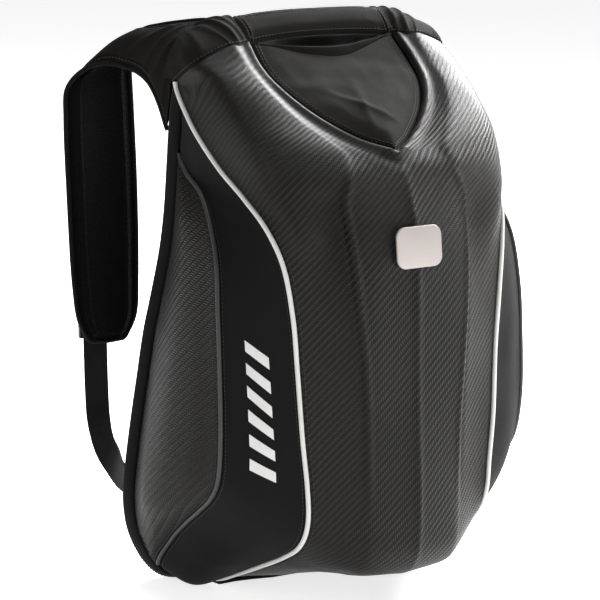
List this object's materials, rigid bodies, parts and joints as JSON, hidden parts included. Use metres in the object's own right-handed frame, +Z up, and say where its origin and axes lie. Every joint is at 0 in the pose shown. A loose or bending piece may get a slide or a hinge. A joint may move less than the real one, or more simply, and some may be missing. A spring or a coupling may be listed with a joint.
{
  "type": "hard shell backpack",
  "caption": "Hard shell riding backpack with a woven-film front shell, side pocket panels, pale piping, top cloth with a grab handle and padded shoulder straps.",
  "frame": {"origin": "centre of the base panel's underside, on the floor", "axes": "+Z up, -Y out of the front shell, +Y towards the wearer, +X to the right seen from the front"},
  "size_m": [0.3702, 0.3231, 0.5195],
  "materials": {
    "carbon_shell": "semi-gloss woven film",
    "top_cloth": "matte coated cloth",
    "black_cloth": "smooth matte cloth",
    "back_mesh": "matte air mesh",
    "webbing": "woven webbing",
    "pale_piping": "satin",
    "dark_piping": "satin",
    "black_plastic": "satin",
    "badge_metal": "satin",
    "reflective_print": "satin"
  },
  "bodies": {
    "root": {"shell": "carbon_shell", "top_insert": "top_cloth", "top_panel": "top_cloth", "grab_handle": "top_cloth", "rear_band": "black_cloth", "back_panel": "back_mesh", "base_panel": "black_cloth", "badge": "badge_metal", "yoke_right": "top_cloth", "gusset_right": "black_cloth", "pocket_right": "carbon_shell", "piping_right": "pale_piping", "pocket_piping_right": "dark_piping", "strap_right": "back_mesh", "webbing_right": "webbing", "adjuster_right": "black_plastic", "yoke_left": "top_cloth", "gusset_left": "black_cloth", "pocket_left": "carbon_shell", "piping_left": "pale_piping", "pocket_piping_left": "dark_piping", "strap_left": "back_mesh", "webbing_left": "webbing", "adjuster_left": "black_plastic", "gusset_bar_1": "reflective_print", "gusset_bar_2": "reflective_print", "gusset_bar_3": "reflective_print", "gusset_bar_4": "reflective_print", "gusset_bar_5": "reflective_print", "gusset_bar_6": "reflective_print"}
  },
  "joints": []
}
